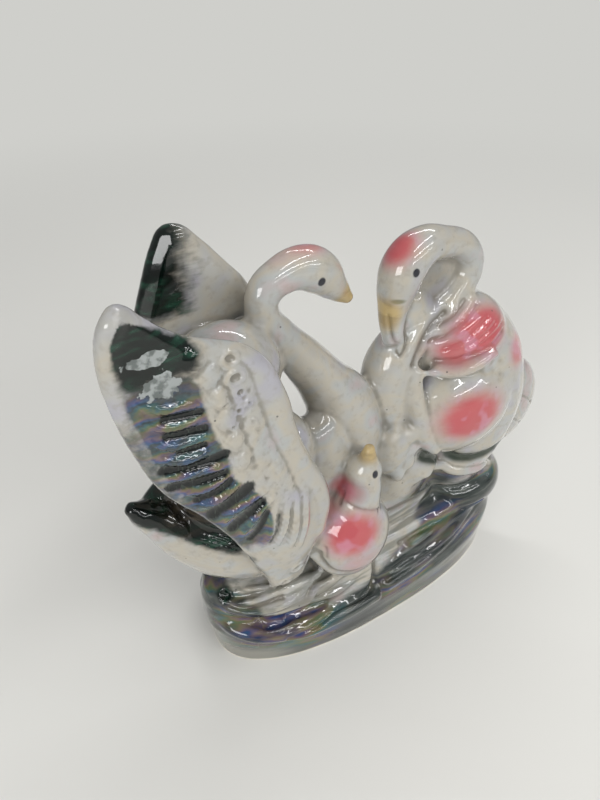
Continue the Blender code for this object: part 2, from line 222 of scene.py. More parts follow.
def add_spread_wing(clay, rows, side, shoulder):
    """A raised wing: a sheet with a wall, a thick leading edge and a rounded rim."""
    last_row = len(rows) - 1
    sheet = bmesh.new()
    bmesh.ops.create_grid(sheet, x_segments=24, y_segments=8 * last_row, size=0.5)
    for vertex in sheet.verts:
        place = wing_point(rows, vertex.co.x + 0.5, (vertex.co.y + 0.5) * last_row)
        vertex.co = Vector(place) * mm
    mesh = bpy.data.meshes.new("wing_sheet")
    sheet.to_mesh(mesh)
    sheet.free()
    guide = bpy.data.objects.new("wing_sheet", mesh)
    wall = guide.modifiers.new("wall", "SOLIDIFY")
    wall.thickness = wing_wall * mm
    wall.offset = 0.0
    take_in(clay, guide)
    bpy.data.meshes.remove(mesh)

    rim = []
    for row in range(2, last_row + 1):
        radius = shoulder if row < last_row - 3 else wing_rim
        rim.append((*wing_point(rows, 0.0, row), radius))
    for row in range(last_row, -1, -1):
        x, y, z = wing_point(rows, 1.0, row)
        rim.append((x, y + side * 1.1, z, wing_rim))
    add_rolls(clay, [rim])


add_rolls(clay, [left_hull, left_tail_ridge, left_shoulder])
add_rolls(clay, [left_neck], neck_flatness)
add_mass(clay, *left_back)
add_mass(clay, *left_saddle)
add_mass(clay, *left_web)
add_spread_wing(clay, near_wing, -1, near_shoulder)
add_spread_wing(clay, far_wing, 1, far_shoulder)

# The right swan
# It sits with folded wings and its neck bent back in a closed loop, beak tucked to its breast.
# A thin web of clay fills the loop, because the mould can't leave it open.
right_body = [
    (27, 0, 113, 11.5), (38.5, 0, 100, 16.5), (46.5, 0, 82, 20), (46, 0, 64, 20.5),
    (42, 0, 46, 17), (39, 0, 32, 15),
]
right_neck = [
    (19, 0, 55, 15), (13.5, 0, 64, 13.2), (9, 0, 79.7, 10.4), (6.2, 0, 93, 9.1),
    (8, 0, 102, 8.4), (13.1, 0, 107.4, 7.4), (22.7, 0, 112.9, 6.1), (31.2, 0, 119.3, 5.3),
    (35.4, 0, 126.5, 4.8), (32.5, 0, 133.5, 4.6), (22, 0, 137.8, 5), (14, 0, 138, 6.2),
    (8.7, 0, 134, 6.9), (6.6, 0, 127.9, 6.4), (5.8, 0, 121.5, 5), (5.2, -1, 115, 4),
    (4.9, -3, 110, 3.4),
]
right_tail = ((63.5, 0, 60), (21.7, 11, 22))
right_breast = ((11, 0, 52), (17, 12.5, 28))
right_loop_web = ((22.5, 1.5, 125), (12, 2.4, 11))
right_neck_web = ((15, 0, 100), (11, 5, 24))
breast_feathers = ((3.5, -10, 71), (8, 4.5, 10))
folded_back = ((33.5, 3, 103), (17.2, 13, 16))
folded_wing = ((34.5, 5, 79), (23.8, 16.8, 21.8))
folded_edge = [(12, -7, 100, 2.2), (10.8, -9, 93, 3), (12, -11, 84, 3.2), (15, -13, 74, 3.2),
               (20, -14, 66, 2.4)]
folded_lip = [(12, -7.6, 99.5, 1.2), (18.8, -11.5, 98.5, 1.8), (24, -15.3, 99.5, 2),
              (30, -17, 101.5, 2), (37, -17, 103.5, 1.4)]
beak_crease = [(-0.5, -4, 120), (2.2, -6.2, 112), (4.5, -7, 107.5), (8.2, -6, 112),
               (10.5, -4.5, 120)]
breast_scallops = [(8.8, -11.8, 77), (9.8, -12.4, 71), (8.6, -12.8, 65.4), (4.6, -13, 61.6)]
body_flatness = 0.92

add_rolls(clay, [right_body], body_flatness)
add_rolls(clay, [right_neck])
for form in (right_tail, right_breast, right_loop_web, right_neck_web, breast_feathers):
    add_mass(clay, *form)
for place in breast_scallops:
    add_mass(clay, place, (2.6, 2.2, 3.2))
for side in (-1, 1):
    for (x, y, z), radii in (folded_back, folded_wing):
        add_mass(clay, (x, side * y, z), radii)
add_rolls(clay, [[(x, side * y, z, radius) for x, y, z, radius in edge]
                 for edge in (folded_edge, folded_lip) for side in (1, -1)])

# The cygnet
# The young bird leans between its parents and looks up, its beak against the right swan's breast.
cygnet_neck = [
    (-17.5, -16.5, 56, 9), (-16, -16.8, 66, 7.8), (-14.6, -17.3, 75, 5.9), (-14.3, -18.4, 83, 3.4),
    (-14.2, -18.5, 88.4, 1.7),
]
cygnet_tail = [(-24, -16, 42, 5.5), (-30, -17.5, 46, 3.5), (-33.5, -18.5, 50, 1.4)]
cygnet_body = ((-18, -16.3, 49), (15, 11.5, 17.5))
cygnet_head = ((-14.6, -17.2, 77), (6, 5.8, 6.6))
cygnet_breast = ((-22.5, -4.5, 75), (12, 9.5, 21))

add_mass(clay, *cygnet_body)
add_mass(clay, *cygnet_head)
add_mass(clay, *cygnet_breast)
add_rolls(clay, [cygnet_neck, cygnet_tail])


def fuse(name, clay, grain, softening):
    """Let overlapping forms run together into one soft skin, as a new mesh."""
    mesh = bpy.data.meshes.new(name)
    clay.to_mesh(mesh)
    clay.free()
    raw = bpy.data.objects.new(name, mesh)
    bpy.context.scene.collection.objects.link(raw)
    join = raw.modifiers.new("join", "REMESH")
    join.mode = "VOXEL"
    join.voxel_size = grain * mm
    join.use_smooth_shade = True
    soften = raw.modifiers.new("soften", "SMOOTH")
    soften.iterations = softening
    depsgraph = bpy.context.evaluated_depsgraph_get()
    fused = bpy.data.meshes.new_from_object(raw.evaluated_get(depsgraph))
    bpy.data.objects.remove(raw, do_unlink=True)
    bpy.data.meshes.remove(mesh)
    return fused


# The modelled relief
# Quills, covert feathers, folded feathers and foam are laid on the big forms as thin rolls and
# small lumps, and then the whole figure is fused once more at a finer grain.
form_grain = 0.9
form_softening = 6
relief_grain = 0.5
relief_softening = 2

# Quills and hollows as (across, row) places on a wing, from the trailing edge inward
level_quills = [
    ((0.91, 7.03), (0.78, 6.76), (0.65, 6.70), (0.53, 6.63)),
    ((0.94, 6.59), (0.81, 6.37), (0.69, 6.33), (0.57, 6.31)),
    ((0.94, 6.18), (0.84, 5.97), (0.75, 5.93), (0.59, 5.92)),
    ((0.95, 5.76), (0.87, 5.64), (0.77, 5.57), (0.62, 5.62)),
    ((0.98, 5.27), (0.83, 5.27), (0.69, 5.28), (0.57, 5.18)),
    ((0.97, 4.85), (0.84, 4.82), (0.74, 4.87), (0.58, 4.96)),
    ((1.00, 4.36), (0.90, 4.31), (0.75, 4.45), (0.55, 4.70)),
]
fan_quills = [
    ((0.98, 3.61), (0.83, 3.86), (0.63, 4.05), (0.43, 4.12)),
    ((0.96, 3.12), (0.77, 3.44), (0.57, 3.75), (0.39, 3.89)),
    ((0.87, 2.61), (0.71, 2.94), (0.57, 3.40), (0.44, 3.68)),
    ((0.71, 2.52), (0.55, 2.95), (0.44, 3.30), (0.35, 3.56)),
    ((0.54, 2.32), (0.43, 2.76), (0.34, 3.23), (0.22, 3.58)),
    ((0.40, 2.20), (0.30, 2.70), (0.22, 3.20), (0.12, 3.55)),
]
quill_hollows = [
    (((0.79, 6.53), (0.67, 6.49), (0.55, 6.46)), 1.2, 1.0),
    (((0.82, 6.17), (0.65, 6.13), (0.57, 6.10)), 1.4, 1.0),
    (((0.80, 5.79), (0.62, 5.78)), 1.0, 1.0),
    (((0.96, 5.48), (0.76, 5.43), (0.52, 5.46)), 1.6, 1.0),
    (((1.00, 5.08), (0.80, 5.06), (0.60, 5.08)), 1.6, 1.0),
    (((0.93, 4.55), (0.74, 4.67), (0.61, 4.83)), 1.5, 1.0),
    (((0.98, 3.95), (0.77, 4.19), (0.54, 4.43)), 2.5, 1.0),
    (((0.97, 3.40), (0.79, 3.63), (0.56, 3.88)), 2.0, 1.0),
    (((0.93, 2.93), (0.76, 3.21), (0.60, 3.54)), 1.4, 0.9),
    (((0.77, 2.68), (0.62, 3.00), (0.51, 3.35)), 1.1, 0.55),
    (((0.60, 2.50), (0.48, 2.93), (0.38, 3.30)), 0.9, 0.35),
]
covert_lumps = [(0.22, 7.55), (0.34, 7.1), (0.40, 6.6), (0.41, 6.1), (0.42, 5.6), (0.44, 5.15)]

# Lines on the right swan, the cygnet and the base, as (x, y, z) places on the near side
back_creases = [
    [(18.8, -10.7, 106.8), (25.2, -14.9, 110.6), (29.3, -14.6, 112.7), (34.8, -13, 114.4)],
    [(25.1, -15.4, 107.5), (30.3, -16.3, 109.5), (38, -14.1, 112)],
    [(16.3, -7.1, 108.6), (20.1, -9.2, 111), (25.3, -10.4, 114.7), (33.5, -8.2, 117.9)],
    [(19.8, -6.8, 113.5), (24.4, -7.7, 117.2), (29.8, -6, 119)],
    [(30, -16, 106.8), (36, -15.5, 109), (43, -12.5, 110)],
]
lip_crease = [(14, -6.5, 101.5), (20.7, -13, 102.5), (26, -15.3, 104), (35.4, -16.6, 106),
              (43, -14, 107.5)]
tail_creases = [
    [(58, -10, 72), (68, -9, 68), (77, -6, 60)],
    [(56, -11, 64), (66, -10.5, 58), (75, -7.5, 50)],
    [(55, -11, 56), (63, -11, 50), (70, -9, 43)],
]
neck_crease = [(22.6, -5.3, 116.6), (17.5, -5.7, 113.7), (13, -6, 109), (9.5, -7, 103)]
plinth_crevice = [(15.2, -12.7, 65.3), (21.5, -13, 61), (32.8, -13, 56), (43.5, -17, 55.9),
                  (52, -15, 57)]
plinth_lip = [(14.4, -13.8, 57), (23, -13, 53), (33, -12.2, 49), (46.1, -14.9, 46), (60, -9.9, 39)]
foam_ridges = [
    [(-57, -9, 37), (-50, -13, 38.5), (-44, -15, 41), (-41, -17, 46)],
    [(-59.5, -10.6, 33.4), (-53.6, -13.9, 34.5), (-48.7, -15.4, 35.3), (-41.4, -16.3, 37)],
    [(-59.1, -13.1, 31), (-53.5, -16.8, 31.3), (-47, -18.9, 31.7), (-39.2, -19.1, 32.6),
     (-34.7, -18.2, 34.9), (-33, -17.5, 38)],
    [(-50, -19, 27.5), (-41, -19.4, 28.2), (-33, -19, 31), (-26.7, -18.8, 33.5)],
    [(-38.4, -17.8, 24.5), (-30.9, -19, 24.1), (-22.8, -19.9, 23.7), (-14, -20, 26)],
    [(-59.4, -12.6, 22.9), (-53.1, -18.7, 21.6), (-44.3, -20.7, 20.8), (-36.1, -21.5, 20),
     (-27.8, -21.5, 20.6)],
]
wave_ridges = [
    ([(-6, -18.5, 20.5), (4.4, -18.2, 23.5), (14, -18, 25.5), (26, -17, 26.5), (40, -15, 27)], 4.2),
]
foam_creases = [
    ([(-61.3, -6.8, 33.9), (-57.5, -10.6, 35), (-52.4, -12.8, 36), (-46, -14.5, 38)], 1.2, 1.1),
    ([(-61.8, -7.7, 32.2), (-58.7, -12.6, 32), (-53, -15.6, 33), (-45, -17, 33.6)], 0.9, 0.9),
    ([(-54.3, -16, 24), (-48.1, -19, 23.7), (-39, -19.5, 22.6), (-29.3, -20.5, 22)], 1.1, 1.2),
    ([(-46.2, -23.8, 17.7), (-40.8, -24.9, 18.6), (-34.6, -24.8, 19), (-27.5, -23.8, 19),
      (-19, -24, 18.6), (-11, -23, 19), (-8, -21.5, 23), (-7, -19.5, 28)], 1.0, 1.3),
    ([(3, -15, 43), (16, -12.5, 41.5), (34, -13, 38.6), (52, -14, 37)], 1.0, 0.9),
    ([(5.4, -18.5, 29.6), (18, -18.5, 30.2), (30.5, -18.4, 29), (48, -18, 29)], 1.0, 1.0),
    ([(-3, -23, 18.5), (14, -23, 21.5), (34, -21.5, 22), (54, -14, 24)], 1.0, 0.8),
]
cygnet_creases = [
    ([(-16, -26.5, 41), (-24, -25.5, 41.5), (-30, -22, 45), (-34.5, -21, 53)], 1.0, 0.9),
    ([(-22, -19, 69), (-17, -20.5, 66.5), (-12.5, -22, 62.5)], 0.7, 0.5),
    ([(-24, -17, 72), (-28.5, -18, 64), (-33.5, -19.5, 57.5), (-36.5, -21, 52)], 0.9, 0.9),
    ([(-34.5, -22, 58), (-31.5, -22, 53.5), (-31, -22, 50)], 0.6, 0.5),
]

core = fuse("core", clay, form_grain, form_softening)
core_form = bmesh.new()
core_form.from_mesh(core)
surface = BVHTree.FromBMesh(core_form)
core_form.free()


def laid(line, lift=0.0):
    """A smooth line through places, dropped on the nearest clay and raised off it by lift."""
    steps = 4
    dropped = []
    for step in range((len(line) - 1) * steps + 1):
        place = Vector(smooth_row(line, step / steps)) * mm
        foot, normal, _, _ = surface.find_nearest(place)
        dropped.append(tuple(foot / mm + normal * lift))
    return dropped


def on_wing(rows, side, places):
    """Places across and along a wing, on its outer face."""
    line = [wing_point(rows, *place) for place in places]
    return [(x, y + side * wing_wall / 2, z) for x, y, z in line]


def both_sides(line):
    """A line on the near side, and its twin on the far side."""
    return [[(x, side * y, z) for x, y, z in line] for side in (1, -1)]


def tapered(line, radius):
    """A thin roll along a line, fading at both ends."""
    return [(*place, radius * (0.45 + 0.55 * math.sin(math.pi * (step + 0.5) / len(line))))
            for step, place in enumerate(line)]


clay = bmesh.new()
crest_lines = []
rolls = []
wings = ((near_wing, -1), (far_wing, 1))
for rows, side in wings:
    for places in level_quills:
        line = laid(on_wing(rows, side, places), -0.45)
        rolls.append(tapered(line, 1.5))
        crest_lines.append(line)
    for places in fan_quills:
        line = laid(on_wing(rows, side, places), -0.2)
        rolls.append(tapered(line, 1.15))
        crest_lines.append(line)
    for across, row in covert_lumps:
        place = laid(on_wing(rows, side, ((across, row), (across, row - 0.1))), -0.2)[0]
        add_mass(clay, place, (2.6, 1.2, 3.1))
for line in foam_ridges:
    rolls += [tapered(laid(twin, -0.5), 1.5) for twin in both_sides(line)]
for line, radius in wave_ridges:
    rolls += [tapered(laid(twin, -0.55 * radius), radius) for twin in both_sides(line)]
rolls += [tapered(laid(twin, -0.8), 2.4) for twin in both_sides(plinth_lip)]
add_rolls(clay, rolls, fineness=2)
clay.from_mesh(core, face_normals=False, vertex_normals=False)
bpy.data.meshes.remove(core)
skin = fuse("skin", clay, relief_grain, relief_softening)

# The carving
# Fine feather barbs, covert scallops, bubble pits and streaks of water are cut into the fused
# skin along its own surface, and a faint waviness stays from the plaster mould.
vertex_count = len(skin.vertices)
flat = np.empty(vertex_count * 3, np.float32)
skin.vertices.foreach_get("co", flat)
points = flat.reshape(-1, 3).astype(float) / mm
skin.vertex_normals.foreach_get("vector", flat)
normals = flat.reshape(-1, 3).astype(float)


def ramp(low, high, values):
    """0 below low, 1 above high and smooth between; low may be the larger."""
    t = np.clip((values - low) / (high - low), 0.0, 1.0)
    return t * t * (3 - 2 * t)


def grain_of(places, size, seed=0.0, where=None):
    """Smooth noise about -1 to 1, with lumps about size across, where it is wanted."""
    chosen = np.arange(len(places)) if where is None else np.flatnonzero(where > 0.01)
    values = np.zeros(len(places))
    values[chosen] = [noise.noise(place) for place in (places[chosen] / size + seed).tolist()]
    return values


def near(places, centre, reach):
    """1 at a centre, falling smoothly to 0 at about its reach."""
    distance = np.linalg.norm((places - np.array(centre)) / np.array(reach), axis=1)
    return ramp(1.25, 0.25, distance)


def trace(line, width):
    """How near each point is to a line: 1 on it, fading away at about its width."""
    closeness = np.zeros(len(points))
    line = np.array(line)
    low = line.min(axis=0) - 2.2 * width
    high = line.max(axis=0) + 2.2 * width
    about = np.flatnonzero(((points > low) & (points < high)).all(axis=1))
    for start, end in zip(line, line[1:]):
        run = end - start
        offset = points[about] - start
        share = np.clip(offset @ run / max(run @ run, 1e-9), 0.0, 1.0)
        distance = np.linalg.norm(offset - share[:, None] * run, axis=1)
        closeness[about] = np.maximum(closeness[about], np.exp(-(distance / width) ** 2))
    return closeness


def traced(lines, width):
    """How near each point is to the nearest of some lines on either side of the figure."""
    closeness = np.zeros(len(points))
    for line in lines:
        for twin in both_sides(line):
            closeness = np.maximum(closeness, trace(laid(twin), width))
    return closeness


def wing_place(rows, side):
    """Each point's place across and along a wing, and how far it belongs to its outer face."""
    steps = np.linspace(0, len(rows) - 1, 200)
    table = np.array([smooth_row(rows, step) for step in steps])
    along = np.interp(points[:, 2], table[:, 3], steps)
    lead = np.interp(points[:, 2], table[:, 3], table[:, 0])
    trail = np.interp(points[:, 2], table[:, 3], table[:, 1])
    middle = np.interp(points[:, 2], table[:, 3], table[:, 2])
    across = (points[:, 0] - lead) / (trail - lead)
    outward = side * (points[:, 1] - middle)
    face = ramp(0.5, 2.0, outward) * ramp(10.0, 8.5, outward) * ramp(0.1, 0.5, side * normals[:, 1])
    face *= ramp(-0.35, -0.2, across) * ramp(1.35, 1.2, across)
    return across, along, face


def window(values, low, high, edge):
    """1 between low and high, with soft edges."""
    return ramp(low - edge, low + edge, values) * ramp(high + edge, high - edge, values)


# Depths, spacings and places of the carving, in millimetres
mould_waviness = 0.07
mould_wave_size = 7.0
scallop_depth = 0.16
scallop_spacing = 3.6
covert_roughness = 0.30
covert_fineness = 0.22
covert_pitting = 0.40
barb_depth = 0.09
barb_spacing = 1.5
hollow_depth = 0.55
wing_groove_width = 0.9
band_edge_depth = 0.40
band_edge_places = [(0.02, 7.45), (0.06, 7.05), (0.12, 6.21), (0.13, 5.3), (0.12, 4.49), (0.18, 3.6)]
lump_edge_depth = 0.35
lump_edge_places = [(0.30, 7.4), (0.33, 6.85), (0.31, 6.35), (0.33, 5.85), (0.33, 5.4), (0.36, 4.9)]
covert_bubbles = [
    (-56.7, 134.6, 2.0), (-56.2, 129.6, 2.2), (-55.4, 125.4, 1.4), (-60.0, 124.0, 1.0),
    (-56.2, 120.6, 1.0), (-53.4, 121.5, 0.8), (-58.4, 117.0, 0.8), (-53.2, 116.0, 0.8),
]
foam_bubbles = [((-41.9, -22.0, 53.0), 2.0), ((-45.2, -20.0, 46.0), 1.5), ((-61.0, -6.4, 33.6), 2.2)]
feather_crease_depth = 0.7
deep_crease_depth = 1.0
crevice_depth = 1.3
crinkle_depth = 0.55
tail_step_height = 0.5
tail_step_places = [(-73.6, -1.7, 80), (-72.8, -3.7, 78.5), (-72.2, -5, 76.5), (-70.6, -6.6, 74.6),
                    (-70.8, -8, 72)]
streak_depth = 0.10
water_line_x = (-66, -59, -52, -40, -25, -12, -3, 5, 14, 22, 30, 42, 62)
water_line_z = (41, 37, 29, 25, 22, 22, 25, 27.5, 31, 38, 41, 41, 37)
tail_barb_depth = 0.14
tail_barb_spacing = 1.6
down_depth = 0.16

cut = mould_waviness * grain_of(points, mould_wave_size)
x = points[:, 0]
z = points[:, 2]
wing_zones = []
recess = np.zeros(vertex_count)
for rows, side in wings:
    across, along, face = wing_place(rows, side)
    wing_zones.append((across, along, face))
    coverts = face * window(across, 0.14, 0.42, 0.05) * window(along, 3.4, 7.6, 0.3)
    scallop = np.abs(np.sin(math.pi * (z + 0.8 * np.sin(x * 1.7) + 0.3 * x) / scallop_spacing))
    rough = grain_of(points, 3.0, 5.0, coverts)
    fine = grain_of(points, 1.2, 8.0, coverts)
    cut += coverts * (scallop_depth * scallop - 0.1 + covert_roughness * rough
                      + covert_fineness * fine - covert_pitting * ramp(0.30, 0.55, fine))
    barbs = face * window(across, 0.42, 0.97, 0.03) * window(along, 2.3, 7.2, 0.2)
    cut += barbs * barb_depth * np.sin(2 * math.pi * (x + 0.55 * z) / barb_spacing)
    for places, width, strength in quill_hollows:
        closeness = trace(laid(on_wing(rows, side, places)), width)
        recess = np.maximum(recess, closeness * strength)
        cut -= hollow_depth * closeness * strength
    for places, depth in ((band_edge_places, band_edge_depth), (lump_edge_places, lump_edge_depth)):
        cut -= depth * trace(laid(on_wing(rows, side, places)), wing_groove_width)
    for pit_x, pit_z, radius in covert_bubbles:
        reach = np.hypot(x - pit_x, (z - pit_z) * 1.25)
        ring = np.exp(-((reach - radius) / 0.5) ** 2)
        cut += face * (0.45 * ring - 0.55 * ramp(radius, radius * 0.4, reach))

# Creases of the folded feathers, neck, plinth, foam and cygnet
feather_crease = traced(back_creases + tail_creases, 0.9)
deep_crease = np.maximum(traced([lip_crease], 1.1), traced([neck_crease], 1.4))
deep_crease = np.maximum(deep_crease, 0.7 * trace(laid(beak_crease), 0.7))
crevice = traced([plinth_crevice], 1.8)
cut -= feather_crease_depth * feather_crease + deep_crease_depth * deep_crease
cut -= crevice_depth * crevice
foam_crease = np.zeros(vertex_count)
for line, width, depth in foam_creases:
    closeness = traced([line], width)
    foam_crease = np.maximum(foam_crease, closeness)
    cut -= depth * closeness
young_crease = np.zeros(vertex_count)
for line, width, depth in cygnet_creases:
    closeness = trace(laid(line), width)
    young_crease = np.maximum(young_crease, closeness)
    cut -= depth * closeness
for bubble, radius in foam_bubbles:
    for twin in both_sides([bubble, bubble]):
        reach = np.linalg.norm(points - np.array(laid(twin)[0]), axis=1)
        ring = np.exp(-((reach - radius) / 0.6) ** 2)
        cut += 0.40 * ring - 0.8 * ramp(radius, radius * 0.4, reach)
crinkles = near(points, (38, -17, 96), (8, 8, 8))
cut += crinkles * crinkle_depth * grain_of(points, 3.2, 2.0, crinkles)
cut += tail_step_height * trace(laid(tail_step_places), 0.7)

streak = points * (0.07, 0.4, 1.0)
streak[:, 2] -= 0.16 * x
water_line = np.interp(x, water_line_x, water_line_z)
wet = ramp(4.0, -2.0, z - water_line) * ramp(6.0, 10.0, z)
cut += wet * streak_depth * grain_of(streak, 2.4, 9.0, wet)
hatch_zone = near(points, (-64, -12, 66), (12, 8, 6)) + near(points, (-64, 12, 66), (12, 8, 6))
cut += hatch_zone * tail_barb_depth * np.sin(2 * math.pi * (x * 0.7 + z) / tail_barb_spacing)
down = near(points, (-28, -22, 52), (14, 8, 12)) + near(points, (3, -13, 70), (8, 5, 10))
cut += down * down_depth * grain_of(points, 2.4, 3.0, down)
points += normals * cut[:, None]
skin.vertices.foreach_set("co", (points * mm).astype(np.float32).ravel())
skin.update()

# The colours' places
# The painter sprays each colour from an airbrush, so every one is a soft cloud round a few
# places on the figure. The hollows, creases and recesses are painted darker as shade.
def spray(spots):
    """How much of a sprayed colour each point holds, from (centre, reach, strength) spots."""
    dose = np.zeros(len(points))
    for centre, reach, strength in spots:
        for side in (1, -1):
            dose = np.maximum(dose, strength * near(points, np.array(centre) * (1, side, 1), reach))
    return dose


def keep(name, values):
    """Store one value for each vertex, for the glaze to read."""
    attribute = skin.attributes.new(name, "FLOAT", "POINT")
    attribute.data.foreach_set("value", values.astype(np.float32))


x = points[:, 0]
y = points[:, 1]
z = points[:, 2]
rose = spray([
    # the left swan's crown and the back of its head
    ((-25, 0, 148.5), (11, 7, 4.5), 0.65),
    ((-33, 0, 147), (8, 6, 4), 0.35),
    # the right swan's crown, folded back, folded wing and rump
    ((3.5, 0, 141), (10, 8, 8.5), 0.95),
    ((32, -14, 111), (18, 11, 12), 0.95),
    ((22, -13, 106), (15, 9, 8), 0.8),
    ((28, -20, 82), (17.5, 11, 12), 1.0),
    ((52, -13, 97), (8, 8, 8), 0.9),
])
cygnet_rose = [
    ((-22.5, -24, 58.5), (13.5, 9, 11), 1.0),
    ((-19, -25, 46), (12, 8, 8), 0.45),
    ((-21, -17, 72.5), (6, 6, 5), 0.95),
    ((-27, -17, 66), (6, 7, 7), 0.6),
]
for centre, reach, strength in cygnet_rose:
    rose = np.maximum(rose, strength * near(points, centre, reach))

across, along, face = wing_zones[0]
far_across, far_along, far_face = wing_zones[1]
green = ramp(6.8, 7.7, along) * ramp(-0.60, -0.10, across) * ramp(1.08, 0.84, across)
green *= ramp(-10.0, -13.0, y) * ramp(154, 149, z) * ramp(-61.5, -67.5, x)
far_outer = far_face * ramp(6.85, 7.75, far_along) * ramp(0.1, 0.5, far_across)
far_inner = ramp(-48.0, -63.0, x) * ramp(128, 139, z) * ramp(-3.0, 2.0, y)
tail_line = np.interp(x, (-84, -76, -70, -64, -58, -52), (80, 75, 70, 65.5, 62.5, 61))
off_wing = 1 - ramp(10.5, 12.5, np.abs(y)) * ramp(66, 70, z)
tail = ramp(-2.5, 2.5, z - tail_line) * ramp(-53, -59, x) * ramp(88, 86, z) * off_wing
pocket = near(points, (-61.0, -6.4, 33.6), (4, 4, 3)) + near(points, (-61.0, 6.4, 33.6), (4, 4, 3))
green = np.max([green, far_outer, far_inner, tail, pocket], axis=0)

edge_rows = (2.87, 3.42, 3.85, 4.33, 4.84, 5.43, 5.78, 6.60, 7.37)
edge_across = (0.72, 0.58, 0.50, 0.52, 0.56, 0.51, 0.53, 0.51, 0.43)
quill_zone = np.zeros(vertex_count)
for zone_across, zone_along, zone_face in wing_zones:
    inner = np.interp(zone_along, edge_rows, edge_across)
    zone = zone_face * ramp(-0.05, 0.05, zone_across - inner) * window(zone_along, 2.7, 7.3, 0.3)
    rim_fade = ramp(1.02, 0.93, zone_across) + ramp(4.9, 4.3, zone_along)
    quill_zone = np.maximum(quill_zone, zone * np.clip(rim_fade, 0, 1))
quill_zone = np.maximum(quill_zone, 0.62 * window(along, 3.4, 6.7, 0.5) * ramp(0.86, 0.98, across)
                        * ramp(1.5, 1.3, across) * ramp(-10, -13, y))
crest = np.zeros(vertex_count)
for line in crest_lines:
    crest = np.maximum(crest, trace(line, 1.9))
film = np.where(y < 0, along, far_along) * 2.3

water = ramp(3.5, -3.0, z - water_line + 3.0 * grain_of(streak, 2.6, 4.0))
water = np.maximum(water, spray([((26, -11, 44), (20, 9, 5.5), 0.85)]))
# Painted shade in the creases of feathers, foam and cygnet, the web inside the right swan's neck
# loop and the hollows under the left swan's neck
shade = np.max([0.8 * feather_crease * ramp(30, 18, x), 0.9 * deep_crease, 0.8 * foam_crease,
                0.6 * young_crease, 0.7 * near(points, (21, 0, 125), (9, 6, 9)),
                0.5 * near(points, (-28, -3, 103), (7, 7, 8)),
                0.5 * near(points, (-24, -9, 98), (6, 6, 7))], axis=0)

edge_ends = np.empty(len(skin.edges) * 2, np.int32)
skin.edges.foreach_get("vertices", edge_ends)
first, second = edge_ends.reshape(-1, 2).T
degree = np.bincount(edge_ends, minlength=vertex_count)[:, None]


def averaged(values, rounds):
    """Each vertex's value averaged with its neighbours', a number of times."""
    for _ in range(rounds):
        total = np.stack([
            np.bincount(first, column[second], vertex_count)
            + np.bincount(second, column[first], vertex_count) for column in values.T
        ], axis=1)
        values = 0.5 * values + 0.5 * total / degree
    return values


# How far each point lies in a hollow of the skin, for the painted shade there
lifted = averaged(points, 16) - points
hollow = np.einsum("ij,ij->i", lifted, normals)[:, None]
hollow = np.clip(averaged(hollow, 2)[:, 0] / 0.35, -1.0, 1.0)

wide_crevice = traced([plinth_crevice], 2.6)
for name, values in (("rose", rose), ("bottle_green", green), ("quill_zone", quill_zone),
                     ("crest", crest), ("recess", recess), ("crevice", wide_crevice), ("film", film),
                     ("tail", tail), ("water", water), ("shade", shade), ("hollow", hollow)):
    keep(name, values)

# The foot
# The finished cast is thinned to the facets that a close look needs. Its foot is ground flat,
# with a shallow recess inside the rim and the hole that the slip was poured out of.
facet_limit = 190000
foot_width = 5.5
foot_recess = 2.5
pour_hole_radius = 4.5
pour_hole_depth = 8.0
table_length = 180
table_width = 80
table_depth = 20
figurine = bpy.data.objects.new("lustre_figurine", skin)
bpy.context.scene.collection.objects.link(figurine)
triangles = sum(len(face.vertices) - 2 for face in skin.polygons)
thin = figurine.modifiers.new("thin", "DECIMATE")
thin.ratio = min(1.0, facet_limit / triangles)

table = bmesh.new()
table_size = Matrix.Diagonal((table_length * mm, table_width * mm, table_depth * mm, 1.0))
table_place = Matrix.Translation((0, 0, -table_depth / 2 * mm))
bmesh.ops.create_cube(table, size=1.0, matrix=table_place @ table_size)
foot_hollow = bmesh.new()
add_oval(foot_hollow, [
    (half_length - foot_width, half_width - foot_width, -foot_recess),
    (half_length - foot_width, half_width - foot_width, foot_recess / 2),
    (half_length - foot_width - 1.2, half_width - foot_width - 1.2, foot_recess),
])
pour_hole = bmesh.new()
bmesh.ops.create_cone(pour_hole, cap_ends=True, segments=48, radius1=pour_hole_radius * mm,
                      radius2=pour_hole_radius * mm, depth=2 * pour_hole_depth * mm)
cutters = []
for name, shape in (("table", table), ("foot_hollow", foot_hollow), ("pour_hole", pour_hole)):
    bmesh.ops.recalc_face_normals(shape, faces=shape.faces)
    cutter_mesh = bpy.data.meshes.new(name)
    shape.to_mesh(cutter_mesh)
    shape.free()
    cutter = bpy.data.objects.new(name, cutter_mesh)
    cut_away = figurine.modifiers.new(name, "BOOLEAN")
    cut_away.operation = "DIFFERENCE"
    cut_away.solver = "MANIFOLD"
    cut_away.object = cutter
    cutters.append(cutter)
depsgraph = bpy.context.evaluated_depsgraph_get()
finished = bpy.data.meshes.new_from_object(figurine.evaluated_get(depsgraph))
figurine.modifiers.clear()
figurine.data = finished
for cutter in cutters:
    bpy.data.objects.remove(cutter, do_unlink=True)
for polygon in finished.polygons:
    polygon.use_smooth = True
finished.materials.clear()

# The lustre glaze
# Clear glaze over white porcelain, sprayed with rose, bottle green and ochre, then fired with a
# thin metal lustre that breaks into rainbow bands where it lies thick, on quills and water.


def pigment(red, green, blue):
    """An everyday 0 to 255 colour as the shader's linear colour."""
    linear = []
    for channel in (red, green, blue):
        share = channel / 255
        linear.append(share / 12.92 if share <= 0.04045 else ((share + 0.055) / 1.055) ** 2.4)
    return (*linear, 1.0)


